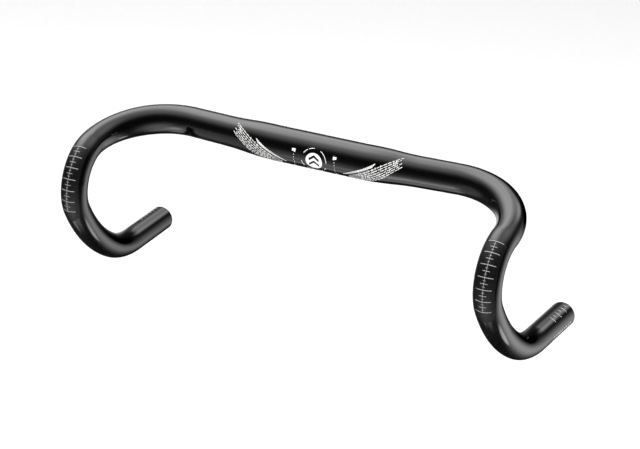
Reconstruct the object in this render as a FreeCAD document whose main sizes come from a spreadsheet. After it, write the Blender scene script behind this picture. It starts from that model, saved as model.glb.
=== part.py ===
"""Road-bike drop handlebar: one butted aluminium tube and the marks printed on it.

Frame, in mm: the origin is the middle of the stem clamp zone, X runs along the clamp
axis to the bar's right, +Y points back to the rider and +Z points up.
Each half of the tube's centreline is a chain of straight runs and tangent arcs:
clamp zone, small kink, tops, corner bend, hook (three arcs) and straight drop end.
"""

import FreeCAD, Part
import math
import os

import Sketcher

Vector = FreeCAD.Vector
ORIGIN = Vector(0, 0, 0)
AXIS_X = Vector(1, 0, 0)

SIZES = [
    # stem clamp zone
    ("clamp_diameter", 31.8),
    ("clamp_half_length", 42.0),
    ("clamp_wall", 2.3),
    # tops: small kink, long taper, then an almost parallel run
    ("kink_radius", 100.0),
    ("tops_back_angle", 2.0),
    ("tops_rise_angle", 1.0),
    ("tops_length", 82.5),
    ("taper_length", 52.0),
    ("tops_diameter", 27.5),
    ("tops_end_diameter", 27.0),
    ("tops_wall", 1.7),
    # corner bend; over its last part the tube is swaged down to the grip diameter
    ("bend_radius", 66.0),
    ("swage_angle", 63.0),
    ("ramp_toe_angle", 3.0),
    ("ramp_slope_angle", 11.0),
    # hook and drop end, in one plane that leans outward by the flare angle
    ("flare_angle", 1.5),
    ("upper_hook_radius", 36.0),
    ("upper_hook_angle", 111.0),
    ("middle_hook_radius", 180.0),
    ("middle_hook_angle", 27.5),
    ("lower_hook_radius", 100.0),
    ("lower_hook_angle", 28.5),
    ("drop_length", 62.0),
    ("grip_diameter", 23.8),
    ("grip_wall", 1.6),
    ("rim_chamfer", 0.4),
    # printed marks
    ("film_thickness", 0.1),
    ("film_sink", 0.02),
    ("line_width", 0.7),
    ("lever_start_angle", 22.3),
    ("lever_step_angle", 12.6),
    ("lever_overrun_angle", 1.0),
    ("lever_mark_turn", 5.0),
    ("lever_long_span", 68.0),
    ("lever_short_span", 30.0),
    ("trim_pitch", 6.3),
    ("trim_mark_turn", 168.0),
    ("trim_long_span", 32.0),
    ("trim_short_span", 13.5),
    ("label_mark_turn", 46.0),
    ("label_bar_length", 4.4),
    ("label_bar_span", 21.0),
    ("label_pitch", 6.2),
    ("label_start", 6.0),
    ("roundel_turn", -12.0),
    ("roundel_diameter", 15.8),
    ("ring_diameter", 24.0),
    ("centring_offset", 19.8),
    ("centring_turn", 13.5),
    ("centring_tilt", 30.0),
    ("centring_side", 4.0),
    ("centring_dot", 1.4),
    ("centring_pitch", 3.2),
    ("ring_gap_angle", 24.0),
    ("chevron_half_width", 4.2),
    ("chevron_rise", 2.6),
    ("chevron_thickness", 2.1),
    ("chevron_low_foot", -4.4),
    ("chevron_high_foot", 0.3),
    ("band_tip_along", 29.0),
    ("band_tip_up", -10.0),
    ("band_crest_along", 79.0),
    ("band_crest_up", 13.2),
    ("band_heel_along", 82.0),
    ("band_heel_up", 6.0),
    ("band_upper_bow", 3.0),
    ("band_lower_bow", 7.0),
]
LEVER_LONG_MARKS = 7
TRIM_LONG_MARKS = 3
LABEL_BARS = 7
CENTRING_DOTS = 5
RING_GAPS = 4
SWAGE_SECTIONS = 6
TAPER_DIAMETERS = ("clamp_diameter", "tops_diameter", "tops_end_diameter")

doc = FreeCAD.newDocument("drop_handlebar")
sheet = doc.addObject("Spreadsheet::Sheet", "Sizes")
for row, (alias, value) in enumerate(SIZES, start=1):
    sheet.set(f"A{row}", alias)
    sheet.set(f"B{row}", str(value))
    sheet.setAlias(f"B{row}", alias)
doc.recompute()


def size(alias):
    """A driving dimension as a number."""
    return float(sheet.get(alias))


def angle(alias):
    """A driving angle in radians."""
    return math.radians(size(alias))


def unit(vector):
    return Vector(vector).normalize()


class Frame:
    """A point with three axes: x along the tube, y towards the next turn's centre."""

    def __init__(self, point, x_axis, towards):
        self.point = Vector(point)
        self.x = unit(x_axis)
        self.z = unit(self.x.cross(towards))
        self.y = self.z.cross(self.x)

    def at(self, along=0.0, aside=0.0, above=0.0):
        return self.point + self.x * along + self.y * aside + self.z * above

    def straight(self, length):
        return Frame(self.at(length), self.x, self.y)

    def turned(self, radius, turn):
        """The frame at the end of an arc that bends towards y."""
        point = self.at(radius * math.sin(turn), radius * (1 - math.cos(turn)))
        heading = self.x * math.cos(turn) + self.y * math.sin(turn)
        return Frame(point, heading, self.y * math.cos(turn) - self.x * math.sin(turn))

    def outward(self, turn):
        """Unit vector across the tube: 0 is away from the turn's centre, 90 is outboard."""
        return -self.y * math.cos(turn) + self.outboard() * math.sin(turn)

    def outboard(self):
        return self.z if self.z.x > 0 else -self.z


def placement(point, x_axis, y_axis):
    x_axis = unit(x_axis)
    normal = unit(x_axis.cross(y_axis))
    y_axis = normal.cross(x_axis)
    return FreeCAD.Placement(point, FreeCAD.Rotation(x_axis, y_axis, normal, "XZY"))


tops_heading = Vector(1, math.tan(angle("tops_back_angle")), math.tan(angle("tops_rise_angle")))
ramp_heading = Vector(-math.tan(angle("ramp_toe_angle")), -1, -math.tan(angle("ramp_slope_angle")))
hook_down = Vector(math.sin(angle("flare_angle")), 0, -math.cos(angle("flare_angle")))
kink_angle = AXIS_X.getAngle(tops_heading)
bend_angle = tops_heading.getAngle(ramp_heading)
swage_angle = angle("swage_angle")

kink_frame = Frame(Vector(size("clamp_half_length"), 0, 0), AXIS_X, tops_heading)
tops_frame = kink_frame.turned(size("kink_radius"), kink_angle)
tops_end = tops_frame.straight(size("tops_length"))
bend_frame = Frame(tops_end.point, tops_end.x, ramp_heading)
swage_frame = bend_frame.turned(size("bend_radius"), bend_angle - swage_angle)
bend_end = swage_frame.turned(size("bend_radius"), swage_angle)
hook_frame = Frame(bend_end.point, bend_end.x, hook_down)
HOOK_ARCS = ["upper_hook", "middle_hook", "lower_hook"]
drop_frame = hook_frame
for arc_name in HOOK_ARCS:
    drop_frame = drop_frame.turned(size(arc_name + "_radius"), angle(arc_name + "_angle"))
bar_end = drop_frame.straight(size("drop_length"))


def origin_feature(body, role):
    return next(item for item in body.Origin.OriginFeatures if item.Role == role)


def new_body(label):
    body = doc.addObject("PartDesign::Body", label)
    body.Label = label
    body.Placement = FreeCAD.Placement()
    return body


def new_sketch(body, name, where):
    sketch = body.newObject("Sketcher::SketchObject", name)
    sketch.AttachmentSupport = [(origin_feature(body, "XY_Plane"), "")]
    sketch.MapMode = "FlatFace"
    sketch.AttachmentOffset = where
    return sketch


def value_of(expression):
    return float(sheet.evalExpression(expression.replace("Sizes.", "")))


def bound(sketch, expression, *constraint):
    """Add a dimension to the sketch, bound to the sheet by its expression."""
    value = value_of(expression)
    if constraint[0] == "Angle":
        value = math.radians(value)
    index = sketch.addConstraint(Sketcher.Constraint(*constraint, value))
    sketch.setExpression(f"Constraints[{index}]", expression)


def draw_circle(sketch, diameter):
    """A circle about the sketch's origin."""
    radius = value_of(diameter) / 2
    circle = sketch.addGeometry(Part.Circle(ORIGIN, Vector(0, 0, 1), radius))
    sketch.addConstraint(Sketcher.Constraint("Coincident", circle, 3, -1, 1))
    bound(sketch, diameter, "Diameter", circle)


def draw_box(sketch, left, bottom, width, height):
    """A rectangle from its lower left corner; every argument is an expression."""
    x, y = value_of(left), value_of(bottom)
    across, up = value_of(width), value_of(height)
    corners = [Vector(x, y, 0), Vector(x + across, y, 0)]
    corners += [Vector(x + across, y + up, 0), Vector(x, y + up, 0)]
    for start, end in zip(corners, corners[1:] + corners[:1]):
        sketch.addGeometry(Part.LineSegment(start, end))
    for edge in range(4):
        sketch.addConstraint(Sketcher.Constraint("Coincident", edge, 2, (edge + 1) % 4, 1))
        kind = "Vertical" if edge % 2 else "Horizontal"
        sketch.addConstraint(Sketcher.Constraint(kind, edge))
    bound(sketch, left, "DistanceX", -1, 1, 0, 1)
    bound(sketch, bottom, "DistanceY", -1, 1, 0, 1)
    bound(sketch, width, "DistanceX", 0, 1, 0, 2)
    bound(sketch, height, "DistanceY", 1, 1, 1, 2)


def draw_arc_chain(sketch, turns, run=None):
    """Tangent arcs from the sketch's origin, all bending left, then an optional straight."""
    frame = Frame(ORIGIN, AXIS_X, Vector(0, 1, 0))
    heading = 0.0
    for index, (radius, turn) in enumerate(turns):
        reach, sweep = value_of(radius), math.radians(value_of(turn))
        circle = Part.Circle(frame.at(aside=reach), Vector(0, 0, 1), reach)
        start = heading - math.pi / 2
        sketch.addGeometry(Part.ArcOfCircle(circle, start, start + sweep))
        if index == 0:
            sketch.addConstraint(Sketcher.Constraint("Coincident", 0, 1, -1, 1))
            sketch.addConstraint(Sketcher.Constraint("PointOnObject", 0, 3, -2))
        else:
            sketch.addConstraint(Sketcher.Constraint("Tangent", index - 1, 2, index, 1))
        bound(sketch, radius, "Radius", index)
        bound(sketch, turn, "Angle", index)
        frame = frame.turned(reach, sweep)
        heading += sweep
    if run:
        last = len(turns)
        sketch.addGeometry(Part.LineSegment(frame.point, frame.at(value_of(run))))
        sketch.addConstraint(Sketcher.Constraint("Tangent", last - 1, 2, last, 1))
        bound(sketch, run, "Distance", last)


def along_sketch(body, name, frame):
    """A sketch in the plane of the next turn, its X axis along the tube."""
    return new_sketch(body, name, placement(frame.point, frame.x, frame.y))


def across_sketch(body, name, frame):
    """A sketch square to the tube, centred on its axis."""
    return new_sketch(body, name, placement(frame.point, frame.y, frame.z))


def draw_ring(sketch, outer, inner):
    draw_circle(sketch, outer)
    draw_circle(sketch, inner)


def edges_of(sketch, count):
    return (sketch, [f"Edge{number + 1}" for number in range(count)])


def sweep(body, name, profile, spine, sections=()):
    pipe = body.newObject("PartDesign::AdditivePipe", name)
    pipe.Profile = (profile, [""])
    pipe.Spine = spine
    if sections:
        pipe.Transformation = "Multisection"
        pipe.Sections = [(section, [""]) for section in sections]
    pipe.Refine = False
    return pipe


def spin(body, name, sketch, axis="H_Axis", turn="360", holder=None, middle=False):
    """A revolution about one axis of a sketch."""
    feature = body.newObject("PartDesign::Revolution", name)
    feature.Profile = sketch
    feature.ReferenceAxis = (holder or sketch, [axis])
    feature.setExpression("Angle", turn)
    feature.Midplane = middle
    feature.Refine = False
    return feature


def draw_s_curve(sketch, begin, end):
    """Two equal arcs from radius begin down to radius end over the taper's length."""
    high, low, length = value_of(begin), value_of(end), size("taper_length")
    fall = high - low
    arc_radius = (length**2 + fall**2) / (4 * fall)
    half_turn = math.asin(length / 2 / arc_radius)
    top = Part.Circle(Vector(0, high - arc_radius, 0), Vector(0, 0, 1), arc_radius)
    foot = Part.Circle(Vector(length, low + arc_radius, 0), Vector(0, 0, 1), arc_radius)
    first = sketch.addGeometry(Part.ArcOfCircle(top, math.pi / 2 - half_turn, math.pi / 2))
    down = 3 * math.pi / 2
    second = sketch.addGeometry(Part.ArcOfCircle(foot, down - half_turn, down))
    sketch.addConstraint(Sketcher.Constraint("PointOnObject", first, 2, -2))
    sketch.addConstraint(Sketcher.Constraint("PointOnObject", first, 3, -2))
    bound(sketch, begin, "DistanceY", -1, 1, first, 2)
    sketch.addConstraint(Sketcher.Constraint("Tangent", first, 1, second, 1))
    sketch.addConstraint(Sketcher.Constraint("Vertical", second, 3, second, 2))
    bound(sketch, "Sizes.taper_length", "DistanceX", -1, 1, second, 2)
    bound(sketch, end, "DistanceY", -1, 1, second, 2)
    return first, second


def draw_tops_profile(sketch, layers):
    """Half section of taper and tops; layers are the outer and the inner radii."""
    length = size("tops_length")
    walls = []
    for begin, end, finish in layers:
        first, second = draw_s_curve(sketch, begin, end)
        start = Vector(size("taper_length"), value_of(end), 0)
        line = sketch.addGeometry(Part.LineSegment(start, Vector(length, value_of(finish), 0)))
        sketch.addConstraint(Sketcher.Constraint("Coincident", second, 2, line, 1))
        bound(sketch, "Sizes.tops_length", "DistanceX", -1, 1, line, 2)
        bound(sketch, finish, "DistanceY", -1, 1, line, 2)
        walls.append((first, line, value_of(begin), value_of(finish)))
    outer_arc, outer_line, outer_start, outer_end = walls[0]
    inner_arc, inner_line, inner_start, inner_end = walls[1]
    root = sketch.addGeometry(
        Part.LineSegment(Vector(0, inner_start, 0), Vector(0, outer_start, 0))
    )
    sketch.addConstraint(Sketcher.Constraint("Coincident", root, 1, inner_arc, 2))
    sketch.addConstraint(Sketcher.Constraint("Coincident", root, 2, outer_arc, 2))
    tip = sketch.addGeometry(
        Part.LineSegment(Vector(length, inner_end, 0), Vector(length, outer_end, 0))
    )
    sketch.addConstraint(Sketcher.Constraint("Coincident", tip, 1, inner_line, 2))
    sketch.addConstraint(Sketcher.Constraint("Coincident", tip, 2, outer_line, 2))


def add_clamp_zone(body, outer, inner):
    profile = new_sketch(body, body.Label + "_clamp_profile", FreeCAD.Placement())
    half = "Sizes.clamp_half_length"
    draw_box(profile, f"-{half}", f"({inner}) / 2", f"2 * {half}", f"({outer} - ({inner})) / 2")
    return spin(body, body.Label + "_clamp_zone", profile)


def add_kink(body, outer, inner):
    profile = across_sketch(body, body.Label + "_kink_profile", kink_frame)
    draw_ring(profile, outer, inner)
    spine = along_sketch(body, body.Label + "_kink_path", kink_frame)
    draw_arc_chain(spine, [("Sizes.kink_radius", str(math.degrees(kink_angle)))])
    return sweep(body, body.Label + "_kink", profile, edges_of(spine, 1))


def add_tops(body, layers):
    profile = along_sketch(body, body.Label + "_tops_profile", tops_frame)
    draw_tops_profile(profile, layers)
    return spin(body, body.Label + "_tops", profile)


def add_corner(body, outer, inner):
    """The part of the corner bend that keeps the tops' diameter."""
    profile = across_sketch(body, "corner_profile", bend_frame)
    draw_ring(profile, outer, inner)
    spine = along_sketch(body, "corner_path", bend_frame)
    turn = math.degrees(bend_angle - swage_angle)
    draw_arc_chain(spine, [("Sizes.bend_radius", str(turn))])
    return sweep(body, "corner", profile, edges_of(spine, 1))


def eased(begin, end, part):
    """Expression between two others, slow at both ends."""
    share = part * part * (3 - 2 * part)
    return f"({begin}) * {1 - share:.5f} + ({end}) * {share:.5f}"


def add_swaged_corner(body, wide, narrow):
    """The rest of the bend; wide and narrow are the (outer, inner) diameters at its ends."""
    rings = []
    for index in range(SWAGE_SECTIONS + 1):
        part = index / SWAGE_SECTIONS
        station = swage_frame.turned(size("bend_radius"), swage_angle * part)
        ring = across_sketch(body, f"swage_section_{index}", station)
        draw_ring(ring, *(eased(begin, end, part) for begin, end in zip(wide, narrow)))
        rings.append(ring)
    spine = along_sketch(body, "swage_path", swage_frame)
    draw_arc_chain(spine, [("Sizes.bend_radius", "Sizes.swage_angle")])
    return sweep(body, "swaged_corner", rings[0], edges_of(spine, 1), rings[1:])


def add_hook(body, outer, inner):
    profile = across_sketch(body, "hook_profile", hook_frame)
    draw_ring(profile, outer, inner)
    spine = along_sketch(body, "hook_path", hook_frame)
    turns = [(f"Sizes.{name}_radius", f"Sizes.{name}_angle") for name in HOOK_ARCS]
    draw_arc_chain(spine, turns, "Sizes.drop_length")
    return sweep(body, "hook", profile, edges_of(spine, len(turns) + 1))


def rim_edges(shape):
    """Names of the two circles at each cut end of the tube."""
    names = []
    for number, edge in enumerate(shape.Edges, start=1):
        centre = edge.CenterOfMass
        if (Vector(abs(centre.x), centre.y, centre.z) - bar_end.point).Length < 0.01:
            names.append(f"Edge{number}")
    return names


def make_tube():
    """The bar itself, open at both ends."""
    body = new_body("handlebar_tube")
    clamp_bore = "Sizes.clamp_diameter - 2 * Sizes.clamp_wall"
    tops_bore = "Sizes.tops_diameter - 2 * Sizes.tops_wall"
    end_bore = "Sizes.tops_end_diameter - 2 * Sizes.tops_wall"
    grip = "Sizes.grip_diameter"
    grip_bore = f"{grip} - 2 * Sizes.grip_wall"
    add_clamp_zone(body, "Sizes.clamp_diameter", clamp_bore)
    outer_layer = tuple(f"Sizes.{name} / 2" for name in TAPER_DIAMETERS)
    inner_layer = tuple(f"({bore}) / 2" for bore in (clamp_bore, tops_bore, end_bore))
    halves = [
        add_kink(body, "Sizes.clamp_diameter", clamp_bore),
        add_tops(body, [outer_layer, inner_layer]),
        add_corner(body, "Sizes.tops_end_diameter", end_bore),
        add_swaged_corner(body, ("Sizes.tops_end_diameter", end_bore), (grip, grip_bore)),
        add_hook(body, grip, grip_bore),
    ]
    other_half = body.newObject("PartDesign::Mirrored", "other_half")
    other_half.Originals = halves
    other_half.MirrorPlane = (origin_feature(body, "YZ_Plane"), [""])
    other_half.Refine = False
    body.Tip = other_half
    doc.recompute()
    rims = body.newObject("PartDesign::Chamfer", "rims")
    rims.Base = (other_half, rim_edges(other_half.Shape))
    rims.setExpression("Size", "Sizes.rim_chamfer")
    body.Tip = rims
    doc.recompute()
    return body


def film_box(sketch, near, start, length):
    """Section of a printed film on the grip diameter, from start along the sketch's Y axis."""
    draw_box(sketch, near, start, "Sizes.film_thickness", length)


def mark_across(body, name, station, turn, span, start, length):
    """A mark that runs round the tube: it begins at turn and covers span."""
    where = placement(station.point, station.outward(math.radians(turn)), station.x)
    section = new_sketch(body, name + "_section", where)
    film_box(section, "Sizes.grip_diameter / 2", start, length)
    return spin(body, name, section, "V_Axis", span), section


def polar_copies(body, name, mark, holder, steps):
    pattern = body.newObject("PartDesign::PolarPattern", name)
    pattern.Originals = [mark]
    pattern.Axis = (holder, ["Edge1"])
    pattern.setExpression("Angle", f"{steps} * Sizes.lever_step_angle")
    pattern.Occurrences = steps + 1
    pattern.Refine = False
    return pattern


def make_lever_scale():
    """Graduations on the front of the right hook, joined by a thin centre line."""
    body = new_body("lever_scale_right")
    centre = hook_frame.at(aside=size("upper_hook_radius"))
    hub = new_sketch(body, "hub", placement(centre, hook_frame.x, hook_frame.z))
    hub.addGeometry(Part.LineSegment(ORIGIN, Vector(0, size("line_width"), 0)))
    hub.addConstraint(Sketcher.Constraint("Coincident", 0, 1, -1, 1))
    hub.addConstraint(Sketcher.Constraint("Vertical", 0))
    bound(hub, "Sizes.line_width", "Distance", 0)
    steps = LEVER_LONG_MARKS - 1
    mark_turn = size("lever_mark_turn")
    start_angle = angle("lever_start_angle")
    overrun = angle("lever_overrun_angle")
    first = hook_frame.turned(size("upper_hook_radius"), start_angle - overrun)
    side = math.radians(mark_turn)
    across = placement(first.point, first.outward(side), first.outward(side + math.pi / 2))
    strip = new_sketch(body, "centre_line_section", across)
    sunk = "Sizes.grip_diameter / 2 - Sizes.film_sink"
    film_box(strip, sunk, "-Sizes.line_width / 2", "Sizes.line_width")
    sweep_angle = f"{steps} * Sizes.lever_step_angle + 2 * Sizes.lever_overrun_angle"
    spin(body, "centre_line", strip, "Edge1", sweep_angle, holder=hub)
    for kind, shift, count in (("long", 0.0, steps), ("short", 0.5, steps - 1)):
        station = hook_frame.turned(
            size("upper_hook_radius"), start_angle + shift * angle("lever_step_angle")
        )
        span = f"Sizes.lever_{kind}_span"
        begin = mark_turn + size(f"lever_{kind}_span") / 2
        mark, _ = mark_across(
            body, kind + "_mark", station, begin, span, "-Sizes.line_width / 2", "Sizes.line_width"
        )
        body.Tip = polar_copies(body, kind + "_marks", mark, hub, count)
    return body


def row_along_drop(body, name, turn, span, start, length, pitch, count):
    """Equal marks in a row along the straight drop end, measured from its cut rim."""
    back = Frame(bar_end.point, -bar_end.x, bar_end.y)
    mark, section = mark_across(body, name, back, turn, span, start, length)
    row = body.newObject("PartDesign::LinearPattern", name + "_row")
    row.Originals = [mark]
    row.Direction = (section, ["V_Axis"])
    row.setExpression("Length", f"{count - 1} * {pitch}")
    row.Occurrences = count
    row.Refine = False
    body.Tip = row


def make_trim_scale():
    """Cutting ruler on the upper side of the right drop end."""
    body = new_body("trim_scale_right")
    body.AllowCompound = True
    pitch = "2 * Sizes.trim_pitch"
    width = "Sizes.line_width"
    base = size("trim_mark_turn")
    for kind, first in (("long", 2), ("short", 1)):
        begin = base - size(f"trim_{kind}_span")
        start = f"{first} * Sizes.trim_pitch - {width} / 2"
        span = f"Sizes.trim_{kind}_span"
        row_along_drop(body, kind + "_mark", begin, span, start, width, pitch, TRIM_LONG_MARKS)
    return body


def make_drop_label():
    """A row of plain bars low on the outboard side of the right drop end."""
    body = new_body("drop_label_right")
    body.AllowCompound = True
    turn, span = size("label_mark_turn"), "Sizes.label_bar_span"
    start, length = "Sizes.label_start", "Sizes.label_bar_length"
    row_along_drop(body, "bar", turn, span, start, length, "Sizes.label_pitch", LABEL_BARS)
    return body


def make_print_sleeve():
    """Film-thick sleeve over the clamp zone, kink and tops, from which prints are cut."""
    sleeve = new_body("print_sleeve")
    film = "Sizes.film_thickness"
    bare = "Sizes.clamp_diameter"
    coated = f"{bare} + 2 * {film}"
    add_clamp_zone(sleeve, coated, bare)
    add_kink(sleeve, coated, bare)
    outer_layer = tuple(f"Sizes.{name} / 2 + {film}" for name in TAPER_DIAMETERS)
    inner_layer = tuple(f"Sizes.{name} / 2" for name in TAPER_DIAMETERS)
    add_tops(sleeve, [outer_layer, inner_layer])
    return sleeve


def stencil(name, turn):
    """A sketch through the clamp axis that faces the given turn, 0 forward and 90 up."""
    sketch = doc.addObject("Sketcher::SketchObject", name)
    turn = math.radians(turn)
    sketch.Placement = placement(ORIGIN, AXIS_X, Vector(0, math.sin(turn), math.cos(turn)))
    return sketch


def cut_print(label, sketch, sleeve):
    """The part of the sleeve that the stencil covers."""
    prism = doc.addObject("Part::Extrusion", label + "_prism")
    prism.Base = sketch
    prism.DirMode = "Normal"
    prism.setExpression("LengthFwd", "Sizes.clamp_diameter")
    prism.Solid = True
    prism.FaceMakerClass = "Part::FaceMakerBullseye"
    mark = doc.addObject("Part::Common", label)
    mark.Label = label
    mark.Base = sleeve
    mark.Tool = prism
    return mark


def mirrored(source, label):
    copy = doc.addObject("Part::Mirroring", label)
    copy.Label = label
    copy.Source = source
    copy.Normal = AXIS_X
    return copy


def draw_ring_piece(sketch, radius, width, start, end):
    """One closed stretch of a ring about the sketch's origin."""
    ends = []
    for reach in (radius - width / 2, radius + width / 2):
        circle = Part.Circle(ORIGIN, Vector(0, 0, 1), reach)
        arc = Part.ArcOfCircle(circle, start, end)
        sketch.addGeometry(arc)
        ends.append((arc.StartPoint, arc.EndPoint))
    for inner, outer in zip(*ends):
        sketch.addGeometry(Part.LineSegment(inner, outer))


def draw_chevron(sketch, foot):
    """An arrowhead band that points up the sketch's Y axis; foot is its lowest place."""
    half_width, rise = size("chevron_half_width"), size("chevron_rise")
    thickness = size("chevron_thickness")
    lower = [Vector(-half_width, foot, 0), Vector(0, foot + rise, 0), Vector(half_width, foot, 0)]
    upper = [point + Vector(0, thickness, 0) for point in reversed(lower)]
    points = lower + upper
    for start, end in zip(points, points[1:] + points[:1]):
        sketch.addGeometry(Part.LineSegment(start, end))


def make_roundel(sleeve):
    """White disc with a chevron left open, inside a broken ring."""
    sketch = stencil("roundel_stencil", size("roundel_turn"))
    draw_circle(sketch, "Sizes.roundel_diameter")
    for foot in ("chevron_low_foot", "chevron_high_foot"):
        draw_chevron(sketch, size(foot))
    gap = math.radians(size("ring_gap_angle"))
    for index in range(RING_GAPS):
        start = 2 * math.pi * index / RING_GAPS + gap / 2
        end = 2 * math.pi * (index + 1) / RING_GAPS - gap / 2
        draw_ring_piece(sketch, size("ring_diameter") / 2, size("line_width"), start, end)
    return cut_print("centre_roundel_print", sketch, sleeve)


def make_centring_mark(sleeve):
    """A square with a column of dots below it, beside the stem clamp."""
    tilt = size("centring_tilt")
    sketch = stencil("centring_stencil", size("centring_turn") - tilt)
    radius = size("clamp_diameter") / 2
    offset, side, dot = size("centring_offset"), size("centring_side"), size("centring_dot")
    top = radius * math.sin(math.radians(tilt))
    boxes = [(offset, top, side)]
    below = top - side / 2 - size("centring_pitch") / 2
    for index in range(CENTRING_DOTS):
        boxes.append((offset, below - index * size("centring_pitch"), dot))
    for across, up, width in boxes:
        corner = Vector(across - width / 2, up - width / 2, 0)
        points = [corner, corner + Vector(width, 0, 0), corner + Vector(width, width, 0)]
        points.append(corner + Vector(0, width, 0))
        for start, end in zip(points, points[1:] + points[:1]):
            sketch.addGeometry(Part.LineSegment(start, end))
    return cut_print("centring_mark_right", sketch, sleeve)


def make_hatched_band(sleeve):
    """The outline of the sweeping band that runs from below the clamp zone up the taper."""
    sketch = stencil("band_stencil", 0)
    tip = Vector(size("band_tip_along"), size("band_tip_up"), 0)
    crest = Vector(size("band_crest_along"), size("band_crest_up"), 0)
    heel = Vector(size("band_heel_along"), size("band_heel_up"), 0)
    bows = (-size("band_upper_bow"), -size("band_lower_bow"))
    for (start, end), bow in zip(((tip, crest), (heel, tip)), bows):
        chord = end - start
        middle = (start + end) / 2 + unit(Vector(chord.y, -chord.x, 0)) * bow
        sketch.addGeometry(Part.Arc(start, middle, end))
    sketch.addGeometry(Part.LineSegment(crest, heel))
    return cut_print("hatched_band_right", sketch, sleeve)


def make_all():
    """Every exported sub-part by label."""
    sleeve = make_print_sleeve()
    right_marks = [
        make_lever_scale(),
        make_trim_scale(),
        make_drop_label(),
        make_centring_mark(sleeve),
        make_hatched_band(sleeve),
    ]
    parts = [make_tube(), make_roundel(sleeve)] + right_marks
    parts += [mirrored(mark, mark.Label.replace("_right", "_left")) for mark in right_marks]
    return parts


def check(parts):
    """Stop on any failed object or empty, invalid or open shape."""
    doc.recompute()
    for item in doc.Objects:
        if "Invalid" in item.State or "Error" in item.State:
            raise RuntimeError(f"{item.Name} failed: {item.getStatusString()}")
    for part in parts:
        shape = part.Shape
        if shape.isNull() or not shape.isValid() or not shape.Solids:
            raise RuntimeError(f"{part.Label} has no valid solid")
        print(f"{part.Label}: {len(shape.Solids)} solids, {shape.Volume:.1f} mm3")


def export(parts):
    os.makedirs("parts", exist_ok=True)
    for part in parts:
        part.Shape.exportStep(f"parts/{part.Label}.step")


sub_parts = make_all()
check(sub_parts)
export(sub_parts)
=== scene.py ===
"""Visual model of the drop handlebar: one finely meshed tube and its printed films.

Metres, in the CAD frame: the origin is the middle of the stem clamp zone, X runs along the
clamp axis to the bar's right, +Y points back to the rider and +Z points up. Shapes are worked
out in mm and scaled when they become meshes.

A place on the tube is a pair (distance, turn): mm along the centreline from the middle of the
bar, and degrees round the tube.
"""

import math
import random

import bpy
from mathutils import Matrix, Vector


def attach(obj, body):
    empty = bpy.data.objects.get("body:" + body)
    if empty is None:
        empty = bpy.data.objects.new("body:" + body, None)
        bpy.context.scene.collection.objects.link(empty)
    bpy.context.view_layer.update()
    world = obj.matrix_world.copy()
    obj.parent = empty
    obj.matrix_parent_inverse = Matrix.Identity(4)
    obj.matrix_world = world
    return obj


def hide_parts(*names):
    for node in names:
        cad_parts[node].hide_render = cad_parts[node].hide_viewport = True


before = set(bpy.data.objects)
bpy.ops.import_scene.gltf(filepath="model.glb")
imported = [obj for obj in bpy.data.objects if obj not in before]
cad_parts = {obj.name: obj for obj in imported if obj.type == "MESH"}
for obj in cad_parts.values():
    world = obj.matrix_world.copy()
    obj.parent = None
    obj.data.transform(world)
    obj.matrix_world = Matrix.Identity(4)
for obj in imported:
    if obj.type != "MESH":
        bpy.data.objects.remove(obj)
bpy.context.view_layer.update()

MM = 0.001
# mm, to keep a place on its own side of a joint between two runs
ROUNDING = 1e-9
HAIR = 1e-6

# ---------------------------------------------------------------- driving sizes, mm and degrees

CLAMP_RADIUS = 15.9
CLAMP_HALF = 42.0
KINK_RADIUS = 100.0
TOPS_BACK = 2.0
TOPS_RISE = 1.0
TOPS_LENGTH = 82.5
TAPER_LENGTH = 52.0
TOPS_RADIUS = 13.75
TOPS_END_RADIUS = 13.5
BEND_RADIUS = 66.0
SWAGE_ANGLE = 63.0
RAMP_TOE = 3.0
RAMP_SLOPE = 11.0
FLARE = 1.5
# (radius, turn) of the three tangent arcs
HOOK_ARCS = [(36.0, 111.0), (180.0, 27.5), (100.0, 28.5)]
DROP_LENGTH = 62.0
GRIP_RADIUS = 11.9
CLAMP_WALL = 2.3
TOPS_WALL = 1.7
GRIP_WALL = 1.6
RIM_CHAMFER = 0.4
RIM_SOFT = 0.08

RING_STEP = 1.0
RING_POINTS = 96

# the lever scale, in degrees round the first arc of the hook
LEVER_START = 22.3
LEVER_STEP = 12.6
LEVER_MARKS = 7
LEVER_TURN = 5.0


# ---------------------------------------------------------------- the tube's centreline

class Station:
    """A point on the centreline: x along the tube, y towards the turn's centre."""

    def __init__(self, point, x_axis, towards):
        self.point = Vector(point)
        self.x = Vector(x_axis).normalized()
        self.z = self.x.cross(Vector(towards)).normalized()
        self.y = self.z.cross(self.x)

    def straight(self, length):
        return Station(self.point + self.x * length, self.x, self.y)

    def turned(self, radius, turn):
        point = self.point + self.x * radius * math.sin(turn)
        point += self.y * radius * (1 - math.cos(turn))
        heading = self.x * math.cos(turn) + self.y * math.sin(turn)
        return Station(point, heading, self.y * math.cos(turn) - self.x * math.sin(turn))

    def moved(self, radius, length):
        if radius is None:
            return self.straight(length)
        return self.turned(radius, length / radius)

    def outward(self, turn):
        """Across the tube: 0 is away from the turn's centre, 90 is outboard."""
        turn = math.radians(turn)
        side = self.z if self.z.x > 0 else -self.z
        return side * math.sin(turn) - self.y * math.cos(turn)


class Walk:
    """Straight and bent runs, each (first distance, length, station, radius or None)."""

    def __init__(self, start):
        self.runs = []
        self.at = start
        self.distance = 0.0

    def add(self, length, radius, towards):
        here = Station(self.at.point, self.at.x, towards)
        self.runs.append((self.distance, length, here, radius))
        self.at = here.moved(radius, length)
        self.distance += length


def slope(degrees):
    return math.tan(math.radians(degrees))


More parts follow.
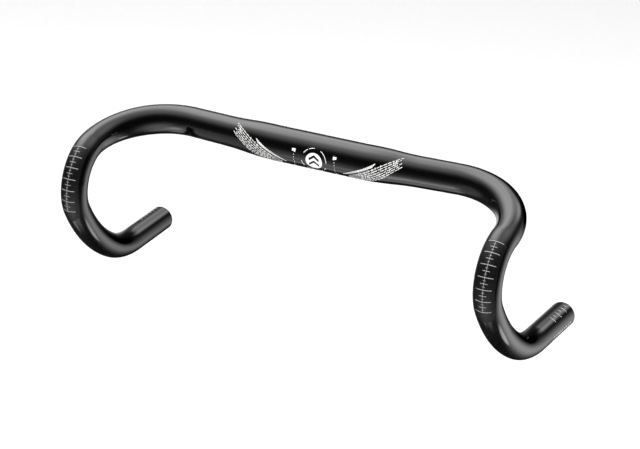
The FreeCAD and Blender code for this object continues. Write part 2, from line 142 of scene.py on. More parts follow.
def right_half():
    """The runs of the right half: clamp zone, kink, tops, corner bend, hook, drop end."""
    tops = Vector((1, slope(TOPS_BACK), slope(TOPS_RISE)))
    ramp = Vector((-slope(RAMP_TOE), -1, -slope(RAMP_SLOPE)))
    flare = math.radians(FLARE)
    down = Vector((math.sin(flare), 0, -math.cos(flare)))
    walk = Walk(Station((0, 0, 0), (1, 0, 0), (0, 1, 0)))
    walk.add(CLAMP_HALF, None, (0, 1, 0))
    kink = Vector((1, 0, 0)).angle(tops)
    walk.add(KINK_RADIUS * kink, KINK_RADIUS, tops)
    walk.add(TOPS_LENGTH, None, walk.at.y)
    walk.add(BEND_RADIUS * tops.angle(ramp), BEND_RADIUS, ramp)
    towards = down
    for radius, turn in HOOK_ARCS:
        walk.add(radius * math.radians(turn), radius, towards)
        towards = walk.at.y
    walk.add(DROP_LENGTH, None, towards)
    return walk.runs


RUNS = right_half()
KINK_END = RUNS[2][0]
TOPS_END = RUNS[3][0]
HOOK_START = RUNS[4][0]
BAR_END = RUNS[-1][0] + RUNS[-1][1]


def station(distance):
    """The station at a distance from the middle, on the right half."""
    for first, _, here, radius in reversed(RUNS):
        if distance >= first - ROUNDING:
            return here.moved(radius, distance - first)


def s_curve(begin, end, along):
    """Two equal tangent arcs from radius begin down to radius end over the taper."""
    fall = begin - end
    arc = (TAPER_LENGTH ** 2 + fall ** 2) / (4 * fall)
    if along < TAPER_LENGTH / 2:
        return begin - arc + math.sqrt(arc * arc - along * along)
    rest = TAPER_LENGTH - along
    return end + arc - math.sqrt(arc * arc - rest * rest)


def layer(distance, clamp, tops, tops_end, grip):
    """A radius that follows the tube's taper and swage."""
    along = distance - KINK_END
    if along <= 0:
        return clamp
    if along < TAPER_LENGTH:
        return s_curve(clamp, tops, along)
    if distance < TOPS_END:
        share = (along - TAPER_LENGTH) / (TOPS_LENGTH - TAPER_LENGTH)
        return tops + (tops_end - tops) * share
    swage = BEND_RADIUS * math.radians(SWAGE_ANGLE)
    share = min(1.0, max(0.0, 1 - (HOOK_START - distance) / swage))
    return tops_end + (grip - tops_end) * share * share * (3 - 2 * share)


def outer_radius(distance):
    return layer(distance, CLAMP_RADIUS, TOPS_RADIUS, TOPS_END_RADIUS, GRIP_RADIUS)


def bore_radius(distance):
    return layer(
        distance,
        CLAMP_RADIUS - CLAMP_WALL,
        TOPS_RADIUS - TOPS_WALL,
        TOPS_END_RADIUS - TOPS_WALL,
        GRIP_RADIUS - GRIP_WALL,
    )


def hook_distance(angle):
    """The distance at an angle round the first arc of the hook."""
    return HOOK_START + HOOK_ARCS[0][0] * math.radians(angle)


# ---------------------------------------------------------------- mesh helper

UV_NAME = "along"


def make_piece(name, points, faces, materials, node, smooth, slots=None, uvs=None):
    """A mesh object from points in mm, which rides on the root body and replaces a CAD node."""
    mesh = bpy.data.meshes.new(name)
    mesh.from_pydata([tuple(point * MM) for point in points], [], faces)
    if uvs:
        uv_layer = mesh.uv_layers.new(name=UV_NAME)
        for loop, uv in zip(uv_layer.data, uvs):
            loop.uv = uv
    piece = bpy.data.objects.new(name, mesh)
    bpy.context.scene.collection.objects.link(piece)
    for material in materials:
        mesh.materials.append(material)
    if slots:
        mesh.polygons.foreach_set("material_index", slots)
    mesh.polygons.foreach_set("use_smooth", [smooth] * len(mesh.polygons))
    mesh.update()
    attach(piece, "root")
    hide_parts(node)
    return piece


# ---------------------------------------------------------------- node helpers

def new_material(name):
    material = bpy.data.materials.new(name)
    material.use_nodes = True
    tree = material.node_tree
    return material, tree, tree.nodes["Principled BSDF"]


def math_node(tree, operation, *values):
    """A maths node; each value is a number or a socket."""
    node = tree.nodes.new("ShaderNodeMath")
    node.operation = operation
    for socket, value in zip(node.inputs, values):
        if isinstance(value, (int, float)):
            socket.default_value = value
        else:
            tree.links.new(value, socket)
    return node.outputs[0]


def noise(tree, vector, scale, detail):
    node = tree.nodes.new("ShaderNodeTexNoise")
    node.inputs["Scale"].default_value = scale
    node.inputs["Detail"].default_value = detail
    tree.links.new(vector, node.inputs["Vector"])
    return node.outputs["Fac"]


def spread(tree, value, low, high):
    """Map 0..1 to low..high."""
    node = tree.nodes.new("ShaderNodeMapRange")
    node.inputs["To Min"].default_value = low
    node.inputs["To Max"].default_value = high
    tree.links.new(value, node.inputs["Value"])
    return node.outputs["Result"]


def two_tone(tree, share, low, high):
    """A colour between two tones, by a share from 0 to 1."""
    node = tree.nodes.new("ShaderNodeMix")
    node.data_type = "RGBA"
    factor, first, second = node.inputs[0], node.inputs[6], node.inputs[7]
    first.default_value = (*low, 1)
    second.default_value = (*high, 1)
    tree.links.new(share, factor)
    return node.outputs[2]


def bump(tree, height, distance, below=None):
    """A bump of this many metres, on top of the bump below."""
    node = tree.nodes.new("ShaderNodeBump")
    node.inputs["Distance"].default_value = distance
    node.inputs["Strength"].default_value = 1.0
    tree.links.new(height, node.inputs["Height"])
    if below:
        tree.links.new(below, node.inputs["Normal"])
    return node.outputs["Normal"]


def object_place(tree):
    return tree.nodes.new("ShaderNodeTexCoord").outputs["Object"]


def tube_place(tree):
    """(mm along the tube, mm round it)."""
    node = tree.nodes.new("ShaderNodeUVMap")
    node.uv_map = UV_NAME
    return node.outputs["UV"]


def mapped(tree, vector, scale=(1, 1, 1), turn=0.0):
    node = tree.nodes.new("ShaderNodeMapping")
    node.inputs["Scale"].default_value = scale
    node.inputs["Rotation"].default_value = (0, 0, math.radians(turn))
    tree.links.new(vector, node.inputs["Vector"])
    return node.outputs["Vector"]


# ---------------------------------------------------------------- materials

def lacquer():
    """Gloss black lacquer: faint orange peel, a little haze and uneven depth of black."""
    material, tree, shader = new_material("gloss_black_lacquer")
    place = object_place(tree)
    cloud = noise(tree, place, 9.0, 3.0)
    black = two_tone(tree, cloud, (0.0006, 0.0006, 0.0007), (0.0014, 0.0014, 0.0014))
    haze = noise(tree, place, 28.0, 4.0)
    peel = bump(tree, noise(tree, place, 300.0, 1.0), 0.000004)
    tree.links.new(black, shader.inputs["Base Color"])
    tree.links.new(spread(tree, haze, 0.04, 0.09), shader.inputs["Roughness"])
    tree.links.new(peel, shader.inputs["Normal"])
    tree.links.new(peel, shader.inputs["Coat Normal"])
    shader.inputs["Specular IOR Level"].default_value = 0.5
    shader.inputs["Coat Weight"].default_value = 1.0
    shader.inputs["Coat Roughness"].default_value = 0.02
    return material


def grip_texture():
    """Fine diamond texture under the lever clamps: black too, but satin."""
    material, tree, shader = new_material("textured_lever_zone")
    waves = []
    for lean in (45, -45):
        wave = tree.nodes.new("ShaderNodeTexWave")
        wave.bands_direction = "X"
        wave.inputs["Scale"].default_value = 0.55
        tree.links.new(mapped(tree, tube_place(tree), turn=lean), wave.inputs["Vector"])
        waves.append(wave.outputs["Fac"])
    place = object_place(tree)
    grain = bump(tree, noise(tree, place, 1500.0, 2.0), 0.00003)
    knurl = bump(tree, math_node(tree, "MINIMUM", *waves), 0.00006, below=grain)
    uneven = noise(tree, place, 60.0, 3.0)
    tree.links.new(knurl, shader.inputs["Normal"])
    tree.links.new(spread(tree, uneven, 0.26, 0.36), shader.inputs["Roughness"])
    shader.inputs["Base Color"].default_value = (0.004, 0.004, 0.0041, 1)
    shader.inputs["Specular IOR Level"].default_value = 0.5
    return material


def bare_alloy():
    """Drawn aluminium inside the bore and on the cut rims, with lines along the tube."""
    material, tree, shader = new_material("bare_drawn_alloy")
    lines = noise(tree, mapped(tree, tube_place(tree), scale=(0.06, 6.0, 1.0)), 3.0, 6.0)
    metal = two_tone(tree, lines, (0.38, 0.38, 0.39), (0.6, 0.6, 0.61))
    tree.links.new(metal, shader.inputs["Base Color"])
    tree.links.new(spread(tree, lines, 0.3, 0.5), shader.inputs["Roughness"])
    tree.links.new(bump(tree, lines, 0.00004), shader.inputs["Normal"])
    shader.inputs["Metallic"].default_value = 1.0
    return material


def white_ink(name, low, high):
    """Screen-printed white ink, satin and slightly uneven; low and high are its brightness."""
    material, tree, shader = new_material(name)
    cover = noise(tree, object_place(tree), 900.0, 3.0)
    share = spread(tree, cover, -0.6, 1.6)
    white = two_tone(tree, share, (low, low, low * 0.98), (high, high, high * 0.98))
    tree.links.new(white, shader.inputs["Base Color"])
    tree.links.new(spread(tree, cover, 0.6, 0.4), shader.inputs["Roughness"])
    tree.links.new(bump(tree, cover, 0.00002), shader.inputs["Normal"])
    shader.inputs["Coat Weight"].default_value = 0.3
    shader.inputs["Coat Roughness"].default_value = 0.15
    return material


LACQUER = lacquer()
TEXTURED = grip_texture()
ALLOY = bare_alloy()
BRIGHT_INK = white_ink("white_ink", 0.74, 0.9)
THIN_INK = white_ink("thin_white_ink", 0.26, 0.42)
BAND_INK = white_ink("hatch_white_ink", 0.56, 0.78)


# ---------------------------------------------------------------- the tube

SKIN_SLOT, TEXTURE_SLOT, ALLOY_SLOT = 0, 1, 2
# the textured zone: its sides in degrees round the tube, how far it starts before the first
# mark of the lever scale in degrees, and the length of its rounded lower end in mm
TEXTURE_SIDES = (-43.0, 53.0)
TEXTURE_LEAD = 0.8
TEXTURE_TONGUE = 10.0
TEXTURE_START = hook_distance(LEVER_START - TEXTURE_LEAD)
TEXTURE_END = hook_distance(LEVER_START + (LEVER_MARKS - 1) * LEVER_STEP) + TEXTURE_TONGUE
# how far the last full ring stays from the chamfer
RIM_ROOM = 0.2


def ring_distances():
    """Ring places from the middle to the end, with one on each joint and texture edge."""
    stops = sorted([first for first, *_ in RUNS] + [TEXTURE_START, TEXTURE_END, BAR_END])
    places = []
    for begin, end in zip(stops, stops[1:]):
        count = max(1, round((end - begin) / RING_STEP))
        places += [begin + (end - begin) * step / count for step in range(count)]
    return [place for place in places if place < BAR_END - RIM_CHAMFER - RIM_ROOM]


def rim_profile():
    """(distance, radius) round the cut rim, from the outer skin to the bore."""
    # (back from the end, into the wall), with each corner of the chamfer slightly rounded
    corners = [
        (RIM_CHAMFER + RIM_SOFT, 0.0),
        (RIM_CHAMFER - 0.3 * RIM_SOFT, 0.4 * RIM_SOFT),
        (0.7 * RIM_SOFT, RIM_CHAMFER - 0.5 * RIM_SOFT),
        (0.0, RIM_CHAMFER + 0.6 * RIM_SOFT),
    ]
    bore = GRIP_RADIUS - GRIP_WALL
    outside = [(BAR_END - back, GRIP_RADIUS - inward) for back, inward in corners]
    inside = [(BAR_END - back, bore + inward) for back, inward in reversed(corners)]
    return outside + inside


def half_profile():
    """(distance, radius, finish) of the right half: out along the skin, back along the bore."""
    places = ring_distances()
    profile = []
    for place in places:
        textured = TEXTURE_START - HAIR <= place < TEXTURE_END - HAIR
        profile.append((place, outer_radius(place), TEXTURE_SLOT if textured else SKIN_SLOT))
    rim = rim_profile()
    profile.append((*rim[0], SKIN_SLOT))
    profile += [(*ring, ALLOY_SLOT) for ring in rim[1:]]
    profile += [(place, bore_radius(place), ALLOY_SLOT) for place in reversed(places)]
    return profile


def ring_frames(places):
    """Each place's centre and two directions across it, which follow the tube untwisted."""
    across = Vector((0, -1, 0))
    frames = {}
    for place in places:
        here = station(place)
        across = (across - here.x * across.dot(here.x)).normalized()
        frames[place] = (here.point, across, here.x.cross(across))
    return frames


def finish_at(ring, frames, index):
    """The material of one face: the texture only covers the front of the hook."""
    place, _, finish = ring
    if finish != TEXTURE_SLOT:
        return finish
    _, across, up = frames[place]
    turn = 2 * math.pi * (index + 0.5) / RING_POINTS
    out = across * math.cos(turn) + up * math.sin(turn)
    here = station(place + HAIR)
    turned = math.degrees(math.atan2(out.dot(here.outward(90)), out.dot(here.outward(0))))
    first, last = TEXTURE_SIDES
    tongue = max(0.0, (place - TEXTURE_END) / TEXTURE_TONGUE + 1)
    reach = (last - first) / 2 * math.sqrt(max(0.0, 1 - tongue ** 2))
    return finish if abs(turned - (first + last) / 2) <= reach else SKIN_SLOT


def tube_points(profile, frames):
    """The rings of the right half, then the same rings mirrored."""
    turns = [2 * math.pi * index / RING_POINTS for index in range(RING_POINTS)]
    points = []
    for side in (1, -1):
        for place, radius, _ in profile:
            centre, across, up = frames[place]
            for turn in turns:
                point = centre + (across * math.cos(turn) + up * math.sin(turn)) * radius
                points.append(Vector((point.x * side, point.y, point.z)))
    return points


def tube_faces(profile, frames):
    """Faces between neighbouring rings, each face's material and each corner's UV."""
    faces, slots, uvs = [], [], []
    for side in (0, 1):
        for row in range(len(profile) - 1):
            below = (side * len(profile) + row) * RING_POINTS
            above = below + RING_POINTS
            for index in range(RING_POINTS):
                after = (index + 1) % RING_POINTS
                quad = [
                    (below + index, row, index),
                    (above + index, row + 1, index),
                    (above + after, row + 1, index + 1),
                    (below + after, row, index + 1),
                ]
                if side == 0:
                    quad.reverse()
                faces.append([corner for corner, _, _ in quad])
                slots.append(finish_at(profile[row], frames, index))
                for _, ring, step in quad:
                    distance, radius, _ = profile[ring]
                    uvs.append((distance, 2 * math.pi * step / RING_POINTS * radius))
    return faces, slots, uvs


def share_middle(points, faces, rows):
    """Give both halves the same middle rings, which lie on the mirror plane."""
    half = rows * RING_POINTS
    last = half - RING_POINTS
    shared = {}
    for index in range(RING_POINTS):
        shared[half + index] = index
        shared[half + last + index] = last + index
    kept = [old for old in range(len(points)) if old not in shared]
    renumber = {old: new for new, old in enumerate(kept)}
    faces = [[renumber[shared.get(corner, corner)] for corner in face] for face in faces]
    return [points[old] for old in kept], faces


def make_tube():
    """The whole bar as one closed skin: outside, cut rims and bore."""
    profile = half_profile()
    frames = ring_frames(sorted({place for place, *_ in profile}))
    faces, slots, uvs = tube_faces(profile, frames)
    points, faces = share_middle(tube_points(profile, frames), faces, len(profile))
    finishes = [LACQUER, TEXTURED, ALLOY]
    tube = make_piece(
        "handlebar_tube_skin", points, faces, finishes, "handlebar_tube", True, slots, uvs)


# ---------------------------------------------------------------- printed film

# how far the film stands over the skin and reaches into it, and its mesh step
INK_HEIGHT = 0.07
INK_SUNK = 0.03
STEP_ALONG = 1.0
STEP_ROUND = 0.5
# share of a path looked ahead and behind to find its direction
LOOK = 0.01


def on_tube(distance, turn, lift):
    """A point over the skin of the right half.

    Turn 0 is forward and 90 up on the clamp zone and tops. From the corner bend on it is the
    station's own turn, from the side away from the turn's centre.
    """
    here = station(distance)
    if distance < TOPS_END:
        front = Vector((0, -1, 0))
        front = (front - here.x * front.dot(here.x)).normalized()
        angle = math.radians(turn)
        out = front * math.cos(angle) + front.cross(here.x) * math.sin(angle)
    else:
        out = here.outward(turn)
    return here.point + out * (outer_radius(distance) + lift)


def signed_volume(points, faces):
    """Six times the volume inside closed quads; negative if they face inwards."""
    volume = 0.0
    for face in faces:
        a, b, c, d = (points[corner] for corner in face)
        volume += a.dot(b.cross(c))
        volume += a.dot(c.cross(d))
    return volume


class Ink:
    """Patches of printed film, each a closed sheet that follows the tube."""

    def __init__(self, side=1):
        self.side = side
        self.points = []
        self.faces = []

    def grid(self, rows):
        """A closed film over a grid of (distance, turn) rows; a negative distance is left."""
        base = len(self.points)
        tall, wide = len(rows), len(rows[0])
        for lift in (INK_HEIGHT, -INK_SUNK):
            for row in rows:
                for distance, turn in row:
                    point = on_tube(abs(distance), turn, lift)
                    point.x *= self.side if distance >= 0 else -self.side
                    self.points.append(point)

        def at(level, row, column):
            return base + level * tall * wide + row * wide + column

        for row in range(tall - 1):
            for column in range(wide - 1):
                after, above = column + 1, row + 1
                ring = [(row, column), (row, after), (above, after), (above, column)]
                self.faces.append([at(0, *corner) for corner in ring])
                self.faces.append([at(1, *corner) for corner in reversed(ring)])
        border = [(0, column) for column in range(wide - 1)]
        border += [(row, wide - 1) for row in range(tall - 1)]
        border += [(tall - 1, column) for column in range(wide - 1, 0, -1)]
        border += [(row, 0) for row in range(tall - 1, 0, -1)]
        for here, after in zip(border, border[1:] + border[:1]):
            self.faces.append([at(0, *after), at(0, *here), at(1, *here), at(1, *after)])

    def patch(self, first, last, begin, end):
        """A rectangle from first to last along the tube and begin to end round it."""
        reach = outer_radius(abs(first))
        across = math.ceil(abs(end - begin) * math.pi / 180 * reach / STEP_ROUND)
        down = math.ceil(abs(last - first) / STEP_ALONG)
        across, down = max(1, across), max(1, down)
        rows = []
        for i in range(down + 1):
            distance = first + (last - first) * i / down
            rows.append([(distance, begin + (end - begin) * j / across) for j in range(across + 1)])
        self.grid(rows)

    def strip(self, path, width, steps):
        """A band of even width along a path, which gives a place for a share from 0 to 1."""
        rows = []
        for index in range(steps + 1):
            share = index / steps
            here = path(share)
            ahead = path(min(1, share + LOOK))
            behind = path(max(0, share - LOOK))
            degree = math.radians(outer_radius(abs(here[0])))
            along = ahead[0] - behind[0]
            turn = (ahead[1] - behind[1]) * degree
            size = math.hypot(along, turn)
            aside = (-turn / size * width / 2, along / size * width / 2 / degree)
            rows.append([(here[0] + aside[0] * k, here[1] + aside[1] * k) for k in (-1, 0, 1)])
        self.grid(rows)

    def make(self, node, material):
        faces = self.faces
        if signed_volume(self.points, faces) < 0:
            faces = [list(reversed(face)) for face in faces]
        piece = make_piece(f"{node}_ink", self.points, faces, [material], node, False)


# ---------------------------------------------------------------- scales and label

# line width in mm; each mark's reach to each side in degrees and its share of that width
LEVER_LINE = 0.34
LEVER_SPINE = 0.7
LEVER_WHOLE = (34.0, 1.0)
LEVER_HALF = (15.0, 0.8)
LEVER_QUARTER = (6.0, 0.5)

# the cutting ruler: it starts at a turn and its marks run down from there
TRIM_LINE = 0.42
TRIM_PITCH = 6.3
TRIM_MARKS = 6
TRIM_TURN = 168.0
TRIM_LONG = 32.0
TRIM_SHORT = 13.5

# the label's rows as (first, last) turns, its ends back from the bar's end, bars and gaps
LABEL_ROWS = ((46.0, 67.0), (78.0, 86.0))
LABEL_ENDS = (48.0, 8.0)
LABEL_BAR = (1.6, 3.2)
LABEL_GAP = (1.8, 2.6)


def make_lever_scale(side, name):
    """Graduations on the front of a hook: a thin spine, then whole, half and quarter marks."""
    ink = Ink(side)

    def tick(mark, size):
        reach, weight = size
        at = hook_distance(LEVER_START + mark * LEVER_STEP)
        half = LEVER_LINE / 2 * weight
        ink.patch(at - half, at + half, LEVER_TURN - reach, LEVER_TURN + reach)

    first = hook_distance(LEVER_START)
    last = hook_distance(LEVER_START + (LEVER_MARKS - 1) * LEVER_STEP)
    spine = math.degrees(LEVER_LINE * LEVER_SPINE / GRIP_RADIUS) / 2
    ink.patch(first, last, LEVER_TURN - spine, LEVER_TURN + spine)
    for mark in range(LEVER_MARKS):
        tick(mark, LEVER_WHOLE)
    for mark in range(LEVER_MARKS - 1):
        tick(mark + 0.5, LEVER_HALF)
        tick(mark + 0.25, LEVER_QUARTER)
        tick(mark + 0.75, LEVER_QUARTER)
    ink.make(f"lever_scale_{name}", THIN_INK)


def make_trim_scale(side, name):
    """Cutting ruler on the upper side of a drop end."""
    ink = Ink(side)
    half = TRIM_LINE / 2
    for mark in range(1, TRIM_MARKS + 1):
        at = BAR_END - mark * TRIM_PITCH
        reach = TRIM_LONG if mark % 2 == 0 else TRIM_SHORT
        ink.patch(at - half, at + half, TRIM_TURN - reach, TRIM_TURN)
    ink.make(f"trim_scale_{name}", BAND_INK)


def make_drop_label(side, name):
    """Two rows of short plain bars on the lower outboard side of a drop end."""
    ink = Ink(side)
    chance = random.Random(5)
    first, last = (BAR_END - back for back in LABEL_ENDS)
    for begin, end in LABEL_ROWS:
        at = first
        while at < last:
            length = chance.uniform(*LABEL_BAR)
            ink.patch(at, at + length, begin, end)
            at += length + chance.uniform(*LABEL_GAP)
    ink.make(f"drop_label_{name}", BAND_INK)


# ---------------------------------------------------------------- roundel and centring marks

ROUNDEL_TURN = -12.0
ROUNDEL_RADIUS = 7.9
ROUNDEL_SLICES = 64
ROUNDEL_STEP = 0.8
ROUNDEL_SLIVER = 0.05
ROUNDEL_RING = 12.0
ROUNDEL_LINE = 0.44
# the broken ring's pieces as (first, last) angles
ROUNDEL_ARCS = [(2, 62), (92, 117), (123, 147), (186, 216), (228, 262), (278, 306), (318, 336)]
ARC_STEPS = 24
CHEVRON_FEET = (-5.0, 0.0)
CHEVRON_HALF = 5.0
CHEVRON_RISE = 3.6
CHEVRON_THICK = 2.7

CENTRING_OFFSET = 19.8
CENTRING_TURN = 13.5
# boxes as (outboard, up, wide, tall): the square's two parts and the foot of the column
CENTRING_SQUARE = [(-0.9, 0, 1.4, 2.9), (0.85, 0.25, 1.5, 2.2)]
CENTRING_FOOT = (0.6, -19.0, 2.6, 0.5)
CENTRING_DASHES = 6
CENTRING_DASH_TOP = -4.0
CENTRING_DASH_STEP = 2.6
CENTRING_DASH_WIDE = 0.4
CENTRING_DASH_TALL = (0.6, 1.1)


def roundel_rows(shape, across, down):
    """Grid rows over the clamp zone for shape(u, v) -> (x, height) in mm on the skin."""
    rows = []
    for i in range(down + 1):
        row = []
        for j in range(across + 1):
            x, up = shape(j / across, i / down)
            row.append((x, ROUNDEL_TURN + math.degrees(up / CLAMP_RADIUS)))
        rows.append(row)
    return rows


def add_arc(ink, begin, end):
    """One piece of the broken ring."""
    inner = ROUNDEL_RING - ROUNDEL_LINE / 2

    def shape(u, v):
        angle = math.radians(begin + (end - begin) * u)
        reach = inner + ROUNDEL_LINE * v
        return reach * math.cos(angle), reach * math.sin(angle)

    ink.grid(roundel_rows(shape, ARC_STEPS, 1))


def white_stretches(x):
    """The white stretches of the disc at x, as (low, high) heights, clear of the chevrons."""
    edge = math.sqrt(max(0.0, ROUNDEL_RADIUS ** 2 - x * x))
    stretches, start = [], -edge
    for foot in CHEVRON_FEET:
        if abs(x) < CHEVRON_HALF:
            low = foot + CHEVRON_RISE * (1 - abs(x) / CHEVRON_HALF)
            if low > start:
                stretches.append((start, min(low, edge)))
            start = max(start, low + CHEVRON_THICK)
    if start < edge:
        stretches.append((start, edge))
    return stretches


def add_slice(ink, left, right, low, high):
    """One upright slice of the disc between two heights."""

    def shape(u, v):
        return left + (right - left) * u, low + (high - low) * v

    ink.grid(roundel_rows(shape, 1, max(1, round((high - low) / ROUNDEL_STEP))))


def make_roundel():
    """White disc with a chevron pair left open, inside a broken ring."""
    ink = Ink()
    for begin, end in ROUNDEL_ARCS:
        add_arc(ink, begin, end)
    for index in range(ROUNDEL_SLICES):
        left = -ROUNDEL_RADIUS + 2 * ROUNDEL_RADIUS * index / ROUNDEL_SLICES
        right = left + 2 * ROUNDEL_RADIUS / ROUNDEL_SLICES
        for low, high in white_stretches((left + right) / 2):
            if high - low > ROUNDEL_SLIVER:
                add_slice(ink, left, right, low, high)
    ink.make("centre_roundel_print", BRIGHT_INK)


def make_centring_mark(side, name):
    """A square with a column of small dashes below it, beside the stem clamp."""
    ink = Ink(side)
    degrees = math.degrees(1 / CLAMP_RADIUS)

    def box(outboard, up, wide, tall):
        x = CENTRING_OFFSET + outboard
        middle = CENTRING_TURN + up * degrees
        half = tall / 2 * degrees
        ink.patch(x - wide / 2, x + wide / 2, middle - half, middle + half)

    for part in CENTRING_SQUARE:
        box(*part)
    chance = random.Random(3)
    for step in range(CENTRING_DASHES):
        up = CENTRING_DASH_TOP - step * CENTRING_DASH_STEP
        outboard = chance.uniform(-0.4, 0.4)
        box(outboard, up, CENTRING_DASH_WIDE, chance.uniform(*CENTRING_DASH_TALL))
    box(*CENTRING_FOOT)
    ink.make(f"centring_mark_{name}", BRIGHT_INK)


# ---------------------------------------------------------------- hatched bands

# the band's edges and its upper bar as (distance, turn) corners of cubic curves
BAND_LOWER = [(31.0, -47.0), (46.0, -84.0), (62.0, -36.0), (82.0, 27.0)]
BAND_UPPER = [(31.0, -45.0), (45.0, -12.0), (62.0, 15.0), (80.5, 66.0)]
BAND_CREST = [(27.5, -36.0), (36.0, -19.0), (47.0, -2.0), (57.5, 24.0)]

# how much shorter each lane is, the share of its pitch that a lane covers, and its dashes
BAND_RAGGED = (0.01, 0.05, 0.015, 0.07, 0.03, 0.0)
BAND_LANES = len(BAND_RAGGED)
BAND_COVER = 0.3
BAND_THINNEST = 0.18
BAND_FIRST = 0.03
BAND_DASH = (1.6, 3.8)
BAND_GAP = 0.8
DASH_STEPS = 4

# the short crossings between lanes: how many, where they may start, reach and width
CROSSINGS = 7
CROSSING_FIRST = 0.25
CROSSING_ROOM = 0.03
CROSSING_REACH = 0.55
CROSSING_WIDTH = 0.4

# the upper bar's lanes, mm down from its crest, and their dashes
CREST_SHIFTS = (-2.2, -1.55, -0.9, -0.25)
CREST_FAN = 0.4
CREST_WIDTH = (0.22, 0.52)
CREST_SHORTER = 0.03
CREST_DASH = (1.2, 3.2)
CREST_GAP = 0.4


def bezier(corners, share):
    """A cubic through its first and last corner."""
    rest = 1 - share
    weights = (rest ** 3, 3 * rest * rest * share, 3 * rest * share * share, share ** 3)
    weighed = list(zip(weights, corners))
    return tuple(sum(weight * corner[axis] for weight, corner in weighed) for axis in (0, 1))


def lane_place(share, lane):
    """A place on one of the band's long curves; lane runs from 0 below to 1 above."""
    low = bezier(BAND_LOWER, share)
    high = bezier(BAND_UPPER, share)
    return (low[0] + (high[0] - low[0]) * lane, low[1] + (high[1] - low[1]) * lane)


def mm_apart(one, other):
    """The distance over the skin between two places."""
    turn = math.radians(one[1] - other[1]) * outer_radius(one[0])
    return math.hypot(one[0] - other[0], turn)


def add_dash(ink, path, begin, end, width):
    """One dash of a curve, between two shares of it."""

    def stretch(share):
        return path(begin + (end - begin) * share)

    ink.strip(stretch, width, DASH_STEPS)


def dashed_lane(ink, chance, path, width, shares, dash, gap):
    """Dashes of even random length along a path, between two shares of it."""
    share, limit = shares
    total = mm_apart(path(0.0), path(1.0)) * 1.05
    while share < limit:
        end = min(share + chance.uniform(*dash) / total, limit)
        add_dash(ink, path, share, end, width((share + end) / 2))
        share = end + gap / total


def add_crossing(ink, share, middle):
    """A short line straight across one lane."""
    half = CROSSING_REACH / BAND_LANES

    def path(u):
        return lane_place(share, middle + half * (2 * u - 1))

    ink.strip(path, CROSSING_WIDTH, 2)


def add_band_lane(ink, chance, lane):
    """One broken curve of the band with its crossings."""
    middle = (lane + 0.5) / BAND_LANES
    limit = 1.0 - BAND_RAGGED[lane]

    def path(share):
        return lane_place(share, middle)

    def width(share):
        pitch = mm_apart(lane_place(share, 0.0), lane_place(share, 1.0)) / BAND_LANES
        return max(BAND_THINNEST, BAND_COVER * pitch)

    first = BAND_FIRST + chance.uniform(0.0, 0.02)
    dashed_lane(ink, chance, path, width, (first, limit), BAND_DASH, BAND_GAP)
    for _ in range(CROSSINGS):
        add_crossing(ink, chance.uniform(CROSSING_FIRST, limit - CROSSING_ROOM), middle)


def add_crest_lane(ink, chance, shift):
    """One broken curve of the bright bar above the band, which fans out from its foot."""
    thin, thick = CREST_WIDTH

    def path(share):
        distance, turn = bezier(BAND_CREST, share)
        return distance, turn + math.degrees(shift * share ** CREST_FAN / CLAMP_RADIUS)

    def width(share):
        return thin + (thick - thin) * share

    limit = 1.0 + CREST_SHORTER * shift
    dashed_lane(ink, chance, path, width, (0.0, limit), CREST_DASH, CREST_GAP)


def make_hatched_band(side, name):
    """Broken curves, like brickwork, that fan out as they sweep up the taper."""
    ink = Ink(side)
    chance = random.Random(11)
    for lane in range(BAND_LANES):
        add_band_lane(ink, chance, lane)
    for shift in CREST_SHIFTS:
        add_crest_lane(ink, chance, shift)
    ink.make(f"hatched_band_{name}", BAND_INK)


make_tube()
make_roundel()
for side, name in ((1, "right"), (-1, "left")):
    make_lever_scale(side, name)
    make_trim_scale(side, name)
    make_drop_label(side, name)
    make_centring_mark(side, name)
    make_hatched_band(side, name)


# ---------------------------------------------------------------- stage, light and camera

# metres
FLOOR_HALF = 6.0
FLOOR_HEIGHT = -0.6
OVERHEAD_SIZE = 3.0
OVERHEAD_PLACE = (0.4, -1.6, 2.2)
OVERHEAD_TURN = (36, 0, 14)
OVERHEAD_ENERGY = 165.0

# Soft lights all round, seen as smooth patches of sky: (azimuth from the front towards the
# right, elevation, half width in degrees, strength, crispness of the edge).
# Most of these numbers were not chosen by hand: a separate program fitted them to the
# brightness of the bar in the photograph, and some were then changed by hand. report.md
# names this as a rule that is not kept.
SOFT_LIGHTS = [
    (-125, 49, 22.5, 4.5, 1.3),
    (-165, 39, 15, 1.25, 3.3),
    (-63, 69, 24.5, 2.05, 1.3),
    (137, 57, 20, 1.9, 1.3),
    (167, 32, 9, 2.55, 1.3),
    (-142, -15, 12, 1.25, 1.0),
    (-17, -55, 11.5, 2.65, 1.3),
    (22, -75, 13.5, 0.95, 2.1),
    (135, -23, 23.5, 2.15, 1.4),
    (157, -12, 11.5, -0.76, 1.0),
    (-69, -71, 9.5, 1.3, 2.3),
    (26, -43, 26, 1.75, 1.3),
    (-44, -43, 33, 0.27, 1.3),
    (-91, 65, 10, 0.75, 1.4),
    (-49, -38, 28, 0.4, 3.6),
    (129, -53, 6.5, 2.9, 3.0),
    (73, 71, 17, 0.55, 1.3),
]
LIGHT_SCALE = 0.52
FILL = 0.009

# degrees of azimuth, elevation and roll; mm in the CAD frame; mm of lens and sensor
CAMERA_TURN = (24.84, 23.96, 2.47)
CAMERA_TARGET = (1.45, 0.0, -68.95)
CAMERA_DISTANCE = 1651.0
CAMERA_LENS = 104.05
CAMERA_SENSOR = 36.0
CAMERA_FAR_CLIP = 50.0


def direction(azimuth, elevation):
    """Azimuth is from the front towards the right, elevation up, both in radians."""
    flat = math.cos(elevation)
    return Vector((math.sin(azimuth) * flat, -math.cos(azimuth) * flat, math.sin(elevation)))


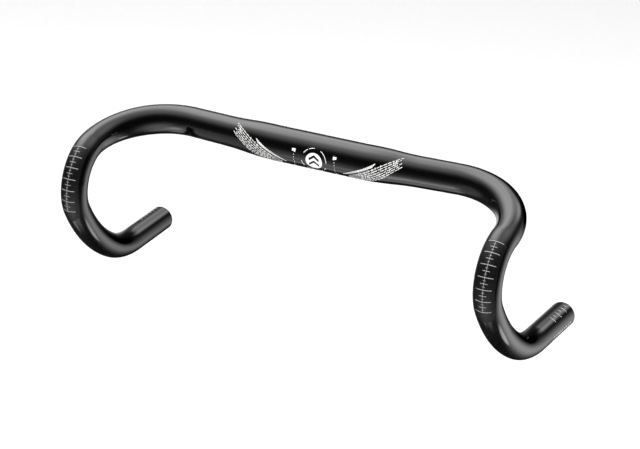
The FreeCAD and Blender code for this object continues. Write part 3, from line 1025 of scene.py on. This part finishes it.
def make_floor():
    """A plain pale floor well below the bar."""
    corners = [(-1, -1), (1, -1), (1, 1), (-1, 1)]
    points = [(x * FLOOR_HALF, y * FLOOR_HALF, FLOOR_HEIGHT) for x, y in corners]
    mesh = bpy.data.meshes.new("floor")
    mesh.from_pydata(points, [], [(0, 1, 2, 3)])
    floor = bpy.data.objects.new("floor", mesh)
    bpy.context.scene.collection.objects.link(floor)
    material, _, shader = new_material("pale_floor")
    shader.inputs["Base Color"].default_value = (0.9, 0.9, 0.9, 1)
    shader.inputs["Roughness"].default_value = 0.9
    mesh.materials.append(material)
    floor.visible_glossy = False


def soft_light(tree, view, light, under):
    """Add one soft patch of sky, half as bright at its half width, to what is under it."""
    azimuth, elevation, half_width, strength, crispness = light
    dot = tree.nodes.new("ShaderNodeVectorMath")
    dot.operation = "DOT_PRODUCT"
    dot.inputs[1].default_value = direction(math.radians(azimuth), math.radians(elevation))
    tree.links.new(view, dot.inputs[0])
    reach = 1 - math.cos(math.radians(half_width))
    away = math_node(tree, "MULTIPLY_ADD", dot.outputs["Value"], -1 / reach, 1 / reach)
    away = math_node(tree, "MAXIMUM", away, 0.0)
    away = math_node(tree, "POWER", away, crispness)
    glow = math_node(tree, "POWER", 0.5, away)
    return math_node(tree, "MULTIPLY_ADD", glow, strength * LIGHT_SCALE, under)


def make_light():
    """The soft lights, over a faint even fill."""
    world = bpy.data.worlds.new("soft_studio")
    bpy.context.scene.world = world
    world.use_nodes = True
    tree = world.node_tree
    unit = tree.nodes.new("ShaderNodeVectorMath")
    unit.operation = "NORMALIZE"
    place = tree.nodes.new("ShaderNodeTexCoord").outputs["Generated"]
    tree.links.new(place, unit.inputs[0])
    total = FILL
    for light in SOFT_LIGHTS:
        total = soft_light(tree, unit.outputs["Vector"], light, total)
    background = tree.nodes["Background"]
    background.inputs["Color"].default_value = (1, 1, 1, 1)
    tree.links.new(total, background.inputs["Strength"])


def make_overhead():
    """A broad soft lamp above the floor, which isn't seen in reflections."""
    lamp = bpy.data.lights.new("overhead", "AREA")
    lamp.shape = "RECTANGLE"
    lamp.size = OVERHEAD_SIZE
    lamp.size_y = OVERHEAD_SIZE
    lamp.energy = OVERHEAD_ENERGY
    overhead = bpy.data.objects.new("overhead", lamp)
    overhead.location = OVERHEAD_PLACE
    overhead.rotation_euler = [math.radians(angle) for angle in OVERHEAD_TURN]
    overhead.visible_glossy = False
    bpy.context.scene.collection.objects.link(overhead)


def make_camera():
    """A long lens from the front right and above, with a slight roll."""
    azimuth, elevation, roll = (math.radians(angle) for angle in CAMERA_TURN)
    back = direction(azimuth, elevation)
    right = Vector((math.cos(azimuth), math.sin(azimuth), 0))
    up = back.cross(right)
    x_axis = right * math.cos(roll) + up * math.sin(roll)
    y_axis = up * math.cos(roll) - right * math.sin(roll)
    place = (Vector(CAMERA_TARGET) + back * CAMERA_DISTANCE) * MM
    camera_data = bpy.data.cameras.new("camera")
    camera_data.sensor_width = CAMERA_SENSOR
    camera_data.lens = CAMERA_LENS
    camera_data.clip_end = CAMERA_FAR_CLIP
    camera = bpy.data.objects.new("camera", camera_data)
    bpy.context.scene.collection.objects.link(camera)
    rows = [(x_axis[axis], y_axis[axis], back[axis], place[axis]) for axis in range(3)]
    camera.matrix_world = Matrix((*rows, (0, 0, 0, 1)))
    bpy.context.scene.camera = camera


make_floor()
make_light()
make_overhead()
make_camera()
bpy.context.scene.view_settings.view_transform = "Standard"
